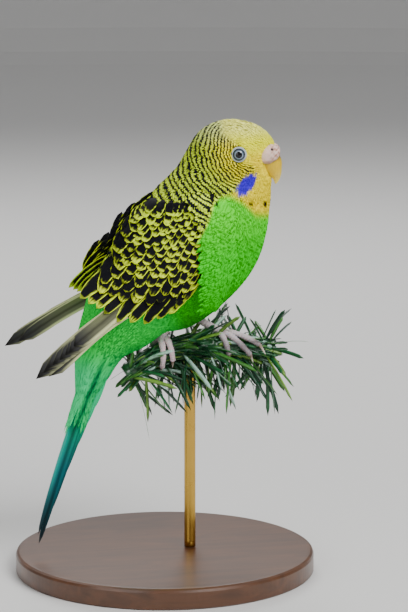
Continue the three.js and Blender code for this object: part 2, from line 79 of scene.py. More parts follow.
def spline(rows, table):
    """A Catmull-Rom curve through the table's rows, at fractional row numbers."""
    ends = np.vstack([2 * table[0] - table[1], table, 2 * table[-1] - table[-2]])
    i = np.clip(np.floor(rows).astype(int), 0, len(table) - 2)
    w = (np.asarray(rows) - i)[..., None]
    a, b, c, d = (ends[i + k] for k in range(4))
    return (2 * b + (c - a) * w + (2 * a - 5 * b + 4 * c - d) * w**2 + (3 * b - a - 3 * c + d) * w**3) / 2


def section(rows):
    """Centre (x, z), direction along the spine, direction to the back, half depth, half width, taper."""
    here = spline(rows, BODY)
    step = spline(np.clip(rows + 0.01, 0, TOP_ROW), BODY) - spline(np.clip(rows - 0.01, 0, TOP_ROW), BODY)
    along = step[..., :2] / np.linalg.norm(step[..., :2], axis=-1, keepdims=True)
    return here[..., :2], along, np.stack([-along[..., 1], along[..., 0]], -1), *np.moveaxis(here[..., 2:], -1, 0)


def smooth(x, low, high):
    """0 below low, 1 above high, and an S-curve between."""
    w = np.clip((x - low) / (high - low), 0, 1)
    return w * w * (3 - 2 * w)


def unit(v):
    return v / np.maximum(np.linalg.norm(v, axis=-1, keepdims=True), 1e-9)


def circle(count):
    """Evenly spaced angles, once round."""
    return np.linspace(0, 2 * np.pi, count, endpoint=False)


def turned(points, share=None):
    """Turns the head to the bird's right about an upright line, all of it or as the height says. The
    face also narrows towards the bill, unless the points belong to a rigid piece."""
    angle = HEAD_TURN * (smooth(points[..., 2], TURN_FROM, TURN_TO) if share is None else share)
    x, y = points[..., 0] - TURN_X, points[..., 1]
    if share is None:
        from_bill = np.hypot(points[..., 0] - FACE_X, (points[..., 2] - FACE_Z) / 1.15)
        y = y * (1 - FACE_NARROWS * (1 - smooth(from_bill, 2, 12)))
    c, s = np.cos(angle), np.sin(angle)
    return np.stack([TURN_X + x * c - y * s, x * s + y * c, points[..., 2]], -1)


SPINE_ROWS = np.linspace(0, TOP_ROW, 111)
SPINE = section(SPINE_ROWS)
last_centre, _, last_back, last_depth, last_width, last_taper = (part[-1] for part in SPINE)
TO_CROWN = np.linalg.inv(np.stack([CROWN, last_back], 1))


def onto_body(points):
    """Pushes points straight away from the spine until they lie on the body: each is written as
    shares of its section's depth and width, or of the crown's, and the shares are scaled to 1.
    Returns the points on the body, their outward normals, and their rows."""
    out, normals = np.empty_like(points), np.empty_like(points)
    rows = np.empty(len(points))
    for part in np.array_split(np.arange(len(points)), len(points) // 20000 + 1):
        p = points[part]
        flat = p[:, [0, 2]]
        near = ((flat[:, None] - SPINE[0][None]) ** 2).sum(-1).argmin(1)
        centre, along, up, depth, width, taper = (table[near] for table in SPINE)
        deep = ((flat - centre) * up).sum(-1) / depth
        wide = p[:, 1] / (width * (1 + taper * np.clip(deep, -1, 1)))
        size = np.maximum(np.hypot(deep, wide), 1e-6)
        deep, wide = deep / size, wide / size
        past = np.where(near == 0, ((flat - centre) * along).sum(-1), 0)
        on = centre + up * (deep * depth)[:, None] + along * past[:, None]
        out[part] = np.stack([on[:, 0], wide * width * (1 + taper * deep), on[:, 1]], -1)
        lean = up * (deep / depth)[:, None]
        normals[part] = np.stack([lean[:, 0], wide / width, lean[:, 1]], -1)
        rows[part] = SPINE_ROWS[near]
        above = (flat - last_centre) @ TO_CROWN.T
        top = above[:, 0] > 0
        if top.any():
            rise, deep = above[top, 0], above[top, 1] / last_depth
            slim = 1 + last_taper * (1 - np.clip(rise, 0, 1)) * np.clip(deep, -1, 1)
            share = unit(np.column_stack([rise, deep, p[top, 1] / (last_width * slim)]))
            rise, deep, wide = share.T
            slim = 1 + last_taper * (1 - rise) * deep
            on = last_centre + rise[:, None] * CROWN + (deep * last_depth)[:, None] * last_back
            out[part[top]] = np.column_stack([on[:, 0], wide * last_width * slim, on[:, 1]])
            lean = np.column_stack([rise, deep / last_depth]) @ TO_CROWN
            normals[part[top]] = np.column_stack([lean[:, 0], wide / last_width, lean[:, 1]])
            rows[part[top]] = TOP_ROW + rise
    return out, unit(normals), rows


def unwrap(points):
    """Each point's place on an unwrap of the body: its angle round the spine, and its row along it."""
    _, normal, rows = onto_body(points)
    along = section(np.minimum(rows, TOP_ROW))
    back = normal[:, 0] * along[2][:, 0] + normal[:, 2] * along[2][:, 1]
    turn = np.arctan2(normal[:, 1], back) / (2 * np.pi) % 1.0
    return np.column_stack([turn * 0.98 + 0.01, rows / 12.2 + 0.005])


def body_point(row, angle):
    """The body at a row, and an angle from the back (0) round its left side to the belly (pi)."""
    row, angle = np.broadcast_arrays(row, angle)
    centre, _, up, depth, width, taper = section(np.minimum(row, TOP_ROW))
    rise = np.clip(row - TOP_ROW, 0, 1)
    shrink = np.sqrt(np.maximum(1 - rise**2, 0))
    flat = centre + rise[..., None] * CROWN + up * (depth * shrink * np.cos(angle))[..., None]
    slim = 1 + taper * (1 - rise) * np.cos(angle)
    return np.stack([flat[..., 0], width * slim * shrink * np.sin(angle), flat[..., 1]], -1)


# Colours are sRGB hex values. The wild-type bird is green with a yellow face, and black and yellow
# bars over the back of its head, neck and mantle.
def hex_rgb(code):
    """The linear colour of an sRGB hex value."""
    c = np.array([int(code[i : i + 2], 16) for i in (1, 3, 5)]) / 255
    return np.where(c <= 0.04045, c / 12.92, ((c + 0.055) / 1.055) ** 2.4)


def mixed(a, b, share):
    """A share of the way from one colour to another, each linear or an sRGB hex value."""
    a, b = (hex_rgb(colour) if isinstance(colour, str) else colour for colour in (a, b))
    return a + (b - a) * np.asarray(share)[..., None]


# The front edge of the barred plumage on the bird's side, from the wing up to the crown: z, and x there.
EDGE_Z = [112, 118, 124, 131, 139, 146, 147.5, 149.5, 153.5, 157, 161, 166, 171, 176]
EDGE_X = [-12, -4, 3, 8.3, 13.5, 18, 21, 28.5, 34, 35.5, 33.5, 29.5, 22.5, 21.5]
SPOTS = [(2.4, 143.6, 1.0), (7.3, 143.2, 1.0), (12.2, 144.2, 0.6)]  # |y|, z, radius: the throat's spots


def markings(p):
    """The plumage's ground colour, its bar number and the strength of its bars, at points of the body
    with the head unturned. Bars are rings about the cheek, closer together near the eye."""
    x, y, z = p[:, 0], np.abs(p[:, 1]), p[:, 2]
    edge = np.interp(z, EDGE_Z, EDGE_X)
    barred = smooth(edge - x, -0.6 - 1.6 * smooth(z, 158, 164), 0.6 + 0.8 * smooth(z, 158, 164))
    barred = barred * smooth(z + 0.3 * (x + 20), 112, 118)
    breast = mixed("#18D800", "#50F000", smooth(z, 122, 146))
    ground = mixed("#129400", breast, smooth(z, 92, 122))
    ground = mixed(ground, "#00E048", smooth(-x - 0.5 * (z - 118), 2, 14) * smooth(z, 60, 90))
    ground = mixed(ground, "#00CC70", smooth(-z, -94, -76))
    # Painted light at the tail's root: a painted highlight on the coverts behind it, and a painted shadow as a dark
    # seam in the crease where the stacked edges of the tail feathers lie between the coverts above and below them.
    behind = 0.93 * (0.385 * (z - 81.2) - 27.1 - x)
    ground = mixed(ground, "#30FFA0", 0.5 * smooth(behind, 0.5, 2.5) * smooth(-z, -88, -76))
    ground = mixed(ground, "#03301C", 0.85 * np.exp(-((behind / 0.75) ** 2)) * smooth(-z, -90, -80))
    yellow = mixed("#FFE800", "#FFFF00", smooth(z, 160, 167))
    # Painted highlight: the crown pales towards white at the top of the head, where the light falls.
    yellow = mixed(yellow, "#FFFF80", smooth(z, 167, 173))
    mask = smooth(z - np.interp(x, [24, 28, 33, 40], [148, 145.5, 140, 138.5]), -2.5, 2.5)
    ground = mixed(ground, yellow, mask)
    far = np.sqrt((x - 34) ** 2 + (0.8 * (y - 9)) ** 2 + (z - 164.5) ** 2)
    pale = mixed("#FFF000", "#E2FF38", smooth(far, 8, 22))
    # Painted highlight: the ground between the bars also pales towards the top of the head.
    pale = mixed(pale, "#F4FFA8", smooth(z, 165, 173) * 0.8)
    ground = mixed(ground, pale, barred)
    patch_x, patch_z = x - 31.4, z - 151.3
    patch = ((patch_x * 0.74 + patch_z * 0.67) / 5.2) ** 2 + ((patch_z * 0.74 - patch_x * 0.67) / 2.4) ** 2
    patch = smooth(patch + 0.35 * np.sin(x * 2.9 + z) * np.sin(z * 2.3), 1.25, 0.8) * smooth(y, 4, 6)
    ground = mixed(ground, "#4410E0", patch)
    for spot_y, spot_z, radius in SPOTS:
        spot = smooth(np.hypot(y - spot_y, z - spot_z), radius * 1.15, radius * 0.8) * smooth(x, 24, 28)
        ground = mixed(ground, "#0B0B10", spot)
    first_bar, growth, bars_from = 0.85, 0.06, 6.0
    far = far + 0.45 * np.sin(z * 0.55 + x * 0.2) * smooth(far, 12, 30) + 0.25 * np.sin(y * 0.9 + z * 1.3)
    bars = np.log(np.maximum(1 + growth * (far - bars_from) / first_bar, 0.2)) / growth
    return ground, bars, barred * (1 - patch) * smooth(far, 5, 7)


def new_material(name, **values):
    """A material and its Principled shader, with the named sockets set to values."""
    made = bpy.data.materials.new(name)
    made.use_nodes = True
    shader = made.node_tree.nodes["Principled BSDF"]
    for socket, value in values.items():
        shader.inputs[socket.replace("_", " ")].default_value = value
    return made, shader


def node(material, kind, sets=None, **inputs):
    """Adds a node. sets are its properties; inputs are its sockets' values, or the sockets to link."""
    made = material.node_tree.nodes.new("ShaderNode" + kind)
    for key, value in (sets or {}).items():
        setattr(made, key, value)
    for key, value in inputs.items():
        found = made.inputs[int(key[1:])] if key[1:].isdigit() else made.inputs[key.replace("_", " ")]
        if isinstance(value, bpy.types.NodeSocket):
            material.node_tree.links.new(value, found)
        else:
            found.default_value = value
    return made.outputs


def plug(shader, socket, output):
    shader.id_data.links.new(output, shader.inputs[socket])


def varied(material, colour, noise, low, high):
    """The colour made darker and lighter by a noise, between two shares of its brightness."""
    value = node(material, "MapRange", Value=noise, From_Min=0.3, From_Max=0.7, To_Min=low, To_Max=high)[0]
    return node(material, "HueSaturation", Value=value, Color=colour)[0]


# Feather: keratin barbs side by side, which scatter light softly and shine a little along the vane.
# The bars are drawn between the numbers kept on the vanes, so that they stay sharp on coarse meshes.
def feather_material(name, roughness, sheen, streak):
    made, shader = new_material(
        name, Roughness=roughness, Sheen_Weight=sheen, Sheen_Roughness=0.5, Specular_IOR_Level=0.1
    )
    ground = node(made, "Attribute", {"attribute_name": "ground"})["Color"]
    bar = node(made, "Attribute", {"attribute_name": "bar"})["Fac"]
    strength = node(made, "Attribute", {"attribute_name": "barred"})["Fac"]
    turns = node(made, "Math", {"operation": "MULTIPLY"}, i0=bar, i1=2 * np.pi)[0]
    wave = node(made, "Math", {"operation": "SINE"}, i0=turns)[0]
    dark = node(made, "MapRange", {"interpolation_type": "SMOOTHSTEP"}, Value=wave, From_Min=-0.2, From_Max=0.4)[0]
    dark = node(made, "Math", {"operation": "MULTIPLY"}, i0=dark, i1=strength)[0]
    colour = node(made, "Mix", {"data_type": "RGBA"}, i0=dark, i6=ground, i7=(*hex_rgb("#141826"), 1))[2]
    lie = node(made, "UVMap", {"uv_map": "Vane"})[0]
    barbs = node(made, "Mapping", Vector=lie, Scale=(9.0, 1.6, 1.0))[0]
    noise = node(made, "TexNoise", Vector=barbs, Scale=1.0, Detail=3.0)["Fac"]
    plug(shader, "Base Color", varied(made, colour, noise, 1 - streak, 1 + streak))
    plug(shader, "Normal", node(made, "Bump", Height=noise, Strength=0.2, Distance=0.00015)[0])
    return made


body_feather = feather_material("contour_feathers", roughness=0.85, sheen=0.0, streak=0.12)


def mesh_piece(name, points, faces, material, colours=None, floats=None, maps=None):
    """A mesh from whole arrays: points in mm, faces as point numbers, colours and numbers kept on the
    points, and UV maps given for each point."""
    mesh = bpy.data.meshes.new(name)
    faces = [np.asarray(f) for f in (faces if isinstance(faces, list) else [faces])]
    sizes = np.concatenate([np.full(len(f), f.shape[1]) for f in faces])
    corners = np.concatenate([f.ravel() for f in faces]).astype(np.int32)
    mesh.vertices.add(len(points))
    mesh.vertices.foreach_set("co", (points * 0.001).astype(np.float32).ravel())
    mesh.loops.add(len(corners))
    mesh.loops.foreach_set("vertex_index", corners)
    mesh.polygons.add(len(sizes))
    mesh.polygons.foreach_set("loop_start", (np.cumsum(sizes) - sizes).astype(np.int32))
    mesh.update(calc_edges=True)
    mesh.polygons.foreach_set("use_smooth", np.ones(len(sizes), bool))
    for key, value in (colours or {}).items():
        layer = mesh.attributes.new(key, "FLOAT_COLOR", "POINT")
        layer.data.foreach_set("color", np.column_stack([value, np.ones(len(points))]).astype(np.float32).ravel())
    for key, value in (floats or {}).items():
        mesh.attributes.new(key, "FLOAT", "POINT").data.foreach_set("value", value.astype(np.float32))
    for key, value in (maps or {}).items():
        mesh.uv_layers.new(name=key).data.foreach_set("uv", value[corners].astype(np.float32).ravel())
    mesh.materials.append(material)
    made = bpy.data.objects.new(name, mesh)
    bpy.context.scene.collection.objects.link(made)
    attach(made, "root")
    return made


def grid_faces(rows, columns, closed=False):
    """Quads over a grid of points, row after row; closed joins each row's end to its start."""
    i, j = np.meshgrid(np.arange(rows - 1), np.arange(columns if closed else columns - 1), indexing="ij")
    k = (j + 1) % columns
    here, after = i * columns, (i + 1) * columns
    return np.stack([here + j, here + k, after + k, after + j], -1).reshape(-1, 4)


def pole_faces(ring, pole, flip):
    """Triangles from a ring of points to one point."""
    after = np.roll(ring, -1)
    pair = (after, ring) if flip else (ring, after)
    return np.stack([pair[0], pair[1], np.full(len(ring), pole)], -1)


def capped(rows, sides, flip=False):
    """Faces over rows of points, each row a ring, with a fan at each end to one more point. The two
    come after the grid's own points."""
    ring, count, way = np.arange(sides), rows * sides, -1 if flip else 1
    caps = np.vstack([pole_faces(ring, count, True), pole_faces(ring + count - sides, count + 1, False)])
    return [grid_faces(rows, sides, closed=True)[:, ::way], caps[:, ::way]]


def with_ends(grid, sides):
    """The points of a grid of rings, and after them the middles of its first and last ring."""
    return np.vstack([grid, grid[:sides].mean(0), grid[-sides:].mean(0)])


def around(profile, sides):
    """Rings of points: a profile of (distance from the axis, height) turned about an upright axis."""
    r, h = np.asarray(profile, float).T[..., None]
    turn = circle(sides)
    return np.stack([r * np.cos(turn), r * np.sin(turn), h + 0 * turn], -1).reshape(-1, 3)


def one_mesh(parts):
    """Joins parts given as (points, quads, triangles) into one set of points and faces."""
    start = np.cumsum([0] + [len(p[0]) for p in parts])
    faces = [np.vstack([part[kind] + first for part, first in zip(parts, start)]) for kind in (1, 2)]
    return np.vstack([part[0] for part in parts]), faces


# The skin: one closed surface a coat's depth inside the solids, in the colours of the feathers on it.
crown_rows = TOP_ROW + np.sin(np.linspace(0.05, 1.5, 30))
skin_rows, skin_sides = np.append(np.linspace(0, TOP_ROW, 150), crown_rows), 120
skin_on, skin_out, _ = onto_body(body_point(skin_rows[:, None], circle(skin_sides)).reshape(-1, 3))
skin_points = with_ends(skin_on - COAT_DEPTH * skin_out, skin_sides)
skin_points[-1] = body_point(TOP_ROW + 1.0, 0.0) - [0, 0, COAT_DEPTH]
ground, bar, barred = markings(skin_points)
skin = mesh_piece(
    "skin",
    turned(skin_points),
    capped(len(skin_rows), skin_sides, flip=True),
    body_feather,
    {"ground": ground},
    {"bar": bar, "barred": barred},
    {"Vane": skin_points[:, [1, 2]] * 0.4},
)
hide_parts("torso", "neck", "head")


# Body feathers: small rounded vanes in staggered rings, each over the roots of those behind it.
def vane_shape(rows, columns):
    """One closed vane as a spindle: its two ends, and rings that run over the top and back under.
    Gives each point's place along (0 to 1) and across (-1 to 1), its side (1 top, -1 under), and faces."""
    across = np.sin(np.linspace(-1, 1, columns + 1) * np.pi / 2)
    t = np.concatenate([across, across[-2:0:-1]])
    side = np.concatenate([np.ones(columns + 1), -np.ones(columns - 1)])
    side[[0, columns]] = 0
    s = np.linspace(0, 1, rows + 1)[1:-1] ** 0.9
    ring = len(t)
    along = np.concatenate([[0], np.repeat(s, ring), [1]])
    wide = np.concatenate([[0], np.tile(t, len(s)), [0]])
    sides = np.concatenate([[0], np.tile(side, len(s)), [0]])
    quads = grid_faces(len(s), ring, closed=True) + 1
    first, last = np.arange(ring) + 1, np.arange(ring) + 1 + (len(s) - 1) * ring
    ends = np.vstack([pole_faces(first, 0, True), pole_faces(last, len(along) - 1, False)])
    return along, wide, sides, quads, ends


def repeated(faces, count, points):
    return (faces[None] + (np.arange(count) * points)[:, None, None]).reshape(-1, faces.shape[1])


def outline(s, blunt):
    """Half width of a vane along its length, as a share of its widest: it opens from the root and
    closes in a round tip."""
    return np.minimum(0.45 + 1.6 * s, 1) * np.sqrt(1 - np.clip((s - blunt) / (1 - blunt), 0, 1) ** 2)


rng = np.random.default_rng(7)


def coat(
    name, roots, flow, length, width, lift, rows=5, columns=2, blunt=0.55, over=None
):
    """Vanes laid on the body from their roots along the flow. Each point is stepped along and across
    from the root, pushed onto the body, and raised from lift[0] at the root to lift[1] at the tip,
    and by over(points) where the coat lies over something else."""
    thick, scallop, jitter = 0.1, 0.25, 0.1  # the vanes' thickness; their bars' bend and spread, in bars
    count = len(roots)
    s, t, side, quads, ends = vane_shape(rows, columns)
    _, normal, _ = onto_body(roots)
    flow = unit(flow - normal * (flow * normal).sum(-1, keepdims=True))
    across = np.cross(normal, flow)
    reach = length[:, None, None] * s[None, :, None] * flow[:, None]
    spread = width[:, None, None] / 2 * (t * outline(s, blunt))[None, :, None] * across[:, None]
    laid, out, _ = onto_body((roots[:, None] + reach + spread).reshape(-1, 3))
    raised = np.tile(lift[0] + (lift[1] - lift[0]) * s**0.8 + thick * side * (1 - 0.7 * s) - 0.08 * t**2, count)
    raised += np.repeat(rng.uniform(-0.05, 0.05, count), len(s))
    if over:
        raised += over(laid)
    ground, bar, barred = markings(laid)
    tone = np.repeat(rng.normal(1, 0.035, count), len(s))[:, None]
    bar = bar + np.repeat(rng.normal(0, jitter, count), len(s)) + scallop * np.tile(t**2, count)
    seat = unwrap(roots)
    patch = np.column_stack([t, 2 * s - 1]) * 0.0015
    return mesh_piece(
        name,
        turned(laid + out * raised[:, None]),
        [repeated(quads, count, len(s)), repeated(ends, count, len(s))],
        body_feather,
        {"ground": ground * tone},
        {"bar": bar, "barred": barred},
        {
            "OFBake": (seat[:, None] + patch[None]).reshape(-1, 2),
            "Vane": (rng.uniform(0, 50, (count, 1, 2)) + np.column_stack([t, s])[None]).reshape(-1, 2),
        },
    )


def rings(row_from, row_to, step, spacing):
    """Roots in staggered rings from one row to another, step mm apart and spacing mm along each ring."""
    rows = np.linspace(row_from, row_to, 400)
    path = body_point(rows, 0.0) + body_point(rows, np.pi)
    run = np.append(0, np.cumsum(np.linalg.norm(np.diff(path, axis=0) / 2, axis=1)))
    points = []
    for k, row in enumerate(np.interp(np.arange(0, run[-1], step), run, rows)):
        angles = np.linspace(0, 2 * np.pi, 241)
        ring = body_point(row, angles)
        length = np.append(0, np.cumsum(np.linalg.norm(np.diff(ring, axis=0), axis=1)))
        count = max(int(length[-1] / spacing), 3)
        at = (np.arange(count) + 0.5 * (k % 2) + rng.uniform(-0.18, 0.18, count)) / count * length[-1]
        points.append(body_point(row + rng.uniform(-0.02, 0.02, count), np.interp(at % length[-1], length, angles)))
    return np.vstack(points)


BILL_ROOT = np.array([42.0, 0.0, 162.0])
EYE = np.array([29.2, 0.0, 163.1])


def coat_flow(p):
    """The lie of the coat: away from the bill over the head, then down the body towards the tail."""
    _, _, rows = onto_body(p)
    along = section(np.minimum(rows, TOP_ROW))[1]
    down = -np.column_stack([along[:, 0], np.zeros(len(p)), along[:, 1]])
    away = unit(p - BILL_ROOT)
    return unit(down + (unit(away + [-0.5, 0, 0.1]) - down) * smooth(p[:, 2], 148, 162)[:, None])


def clear_of_face(roots, length):
    """Drops roots under the eye or the bill, and shortens the vanes that would run over the eye."""
    side_eye = EYE + np.stack([0 * roots[:, 0], np.sign(roots[:, 1]) * 12.3, 0 * roots[:, 0]], -1)
    gap = np.linalg.norm(roots - side_eye, axis=1)
    round_bill = np.linalg.norm((roots - [41.5, 0, 159.4]) / [5.6, 6.5, 5.6], axis=1)
    keep = (gap > 3.2) & (round_bill > 1)
    upstream = ((roots - side_eye) * coat_flow(roots)).sum(1) < 0
    length = np.where(upstream, np.minimum(length, np.maximum(gap - 2.6, 0.5)), length)
    return roots[keep], length[keep]


for name, row_from, row_to, step, spacing, size, lift in (
    ("rump_feathers", 0.4, 4.0, 1.1, 1.1, (7.5, 1.7), (-0.7, 0.1)),
    ("belly_and_flank_feathers", 3.9, 5.3, 0.9, 0.85, (7.0, 1.3), (-0.7, 0.05)),
    ("lower_breast_and_back_feathers", 5.2, 6.6, 0.9, 0.85, (7.0, 1.3), (-0.7, 0.05)),
    ("upper_breast_and_mantle_feathers", 6.5, 8.3, 0.9, 0.85, (6.5, 1.3), (-0.7, 0.05)),
    ("neck_feathers", 8.2, 10.0, 0.75, 0.8, (4.6, 1.15), (-0.7, 0.05)),
    ("head_feathers", 9.9, 11.995, 0.55, 0.65, (3.0, 0.85), (-0.7, 0.0)),
):
    roots = rings(row_from, row_to, step, spacing)
    roots, length = clear_of_face(roots, size[0] * rng.uniform(0.85, 1.15, len(roots)))
    coat(name, roots, coat_flow(roots), length, np.full(len(roots), size[1]), lift)


# The folded wings: flight feathers and coverts in tiers, on a surface that hugs the body's side and then
# leaves it, so that the tips stand apart over the tail. Distances run along the wing (p) and across (q).
WRIST_X, WRIST_Z, WING_SLOPE, LEFT_RAISE = 18.0, 133.0, np.radians(34), np.radians(3.4)


def body_side(x, z):
    """Half the body's width beside a point of the middle plane."""
    flat = np.stack([x, z], -1)
    parts = np.array_split(flat, len(flat) // 20000 + 1)
    near = np.concatenate([((part[:, None] - SPINE[0]) ** 2).sum(-1).argmin(-1) for part in parts])
    centre, _, up, depth, width, taper = (table[near] for table in SPINE)
    off = ((flat - centre) * up).sum(-1) / depth
    return width * (1 + taper * off) * np.sqrt(np.maximum(0, 1 - off * off))


def wing_place(side):
    """The wing's outer face: the larger, softly, of the body's side and a plane that spreads towards
    the tip and curls in over the back."""
    slope = WING_SLOPE - (LEFT_RAISE if side > 0 else 0)

    def place(p, q):
        x = WRIST_X - p * np.cos(slope) - q * np.sin(slope)
        z = WRIST_Z - p * np.sin(slope) + q * np.cos(slope)
        hug = body_side(x, z) + 1.7
        free = 12 + 13 * (p - 30) / 56 - 0.034 * np.maximum(0, q + 2) ** 2
        return np.stack([x, side * (hug + free + np.hypot(hug - free, 3)) / 2, z], -1)

    return place


def facing(place, p, q, outwards):
    """Points of a surface place(p, q), and its normals on the side that outwards points to."""
    here = place(p, q)
    normal = unit(np.cross(place(p + 0.4, q) - here, place(p, q + 0.4) - here))
    return here, normal * np.sign((normal * outwards).sum(-1, keepdims=True) + 1e-9)


def laid_vanes(place, outwards, root, tip, width, lift, bow=0.0, roll=0.0, blunt=0.6, rows=12, thick=0.18):
    """Vanes on any surface place(p, q): each point is stepped from root towards tip, and across with
    the outline and the bow, and is raised along the surface's normal."""
    count = len(root)
    width, bow = np.broadcast_to(width, count), np.broadcast_to(bow, count)
    s, t, side, quads, ends = vane_shape(rows, 10)
    run = tip - root
    across = unit(np.column_stack([-run[:, 1], run[:, 0]]))
    shift = bow[:, None] * np.sin(np.pi * s) + width[:, None] / 2 * t * outline(s, blunt)
    pq = root[:, None] + run[:, None] * s[None, :, None] + across[:, None] * shift[..., None]
    here, normal = facing(place, *pq.reshape(-1, 2).T, outwards)
    low, high = (np.broadcast_to(v, count)[:, None] for v in lift)
    raised = low + (high - low) * s + roll * t + thick * side * (1 - 0.6 * s) - 0.25 * t**2 * (1 - s)
    return here + normal * raised.reshape(-1, 1), s, t, quads, ends, count


class Plumes:
    """Gathers laid vanes and their colours until they are made into one mesh."""

    def __init__(self):
        self.points, self.quads, self.ends, self.colours, self.bake, self.vane = ([] for _ in range(6))
        self.total = 0

    def add(self, laid, colour, seat):
        points, s, t, quads, ends, count = laid
        self.points.append(points)
        for held, faces in ((self.quads, quads), (self.ends, ends)):
            held.append(repeated(faces, count, len(s)) + self.total)
        self.colours.append(colour.reshape(-1, 3))
        patch = np.column_stack([t, 2 * s - 1]) * 0.0015
        self.bake.append((seat[:, None] + patch[None]).reshape(-1, 2))
        self.vane.append((rng.uniform(0, 50, (count, 1, 2)) + np.column_stack([t, 3 * s])[None]).reshape(-1, 2))
        self.total += len(points)

    def make(self, name, material):
        points = np.vstack(self.points)
        zero = np.zeros(len(points))
        return mesh_piece(
            name,
            points,
            [np.vstack(self.quads), np.vstack(self.ends)],
            material,
            {"ground": np.vstack(self.colours)},
            {"bar": zero, "barred": zero},
            {"OFBake": np.vstack(self.bake), "Vane": np.vstack(self.vane)},
        )


wing_feather = feather_material("flight_feathers_and_coverts", roughness=0.7, sheen=0.0, streak=0.14)
SOOT, LEMON, LIME, OLIVE, PALE = "#0C0D12", "#EAFF24", "#B4F020", "#646650", "#DDE0A8"
COVERT_TIPS_X, ROOTS_X = 13.5, 17.0  # no covert's tip and no root lies further forward


def edged(s, t, count, edge, side_at, tip_at):
    """A dark vane with a pale margin along both sides and round the tip, wavering from vane to vane."""
    wobble = rng.normal(0, 0.05, (count, 1)) + 0.06 * np.sin(s * 23 + rng.uniform(0, 6, (count, 1)))
    wobble = wobble + 0.05 * np.sin(t * 9 + rng.uniform(0, 6, (count, 1)))
    margin = np.maximum(np.abs(t) - side_at - 0.2 * (1 - s), (s - tip_at) * 1.6) + wobble
    tone = rng.normal(1, 0.06, (count, 1, 1))
    half_blend = 0.06
    return mixed(SOOT, edge, smooth(margin, -half_blend, half_blend)) * tone


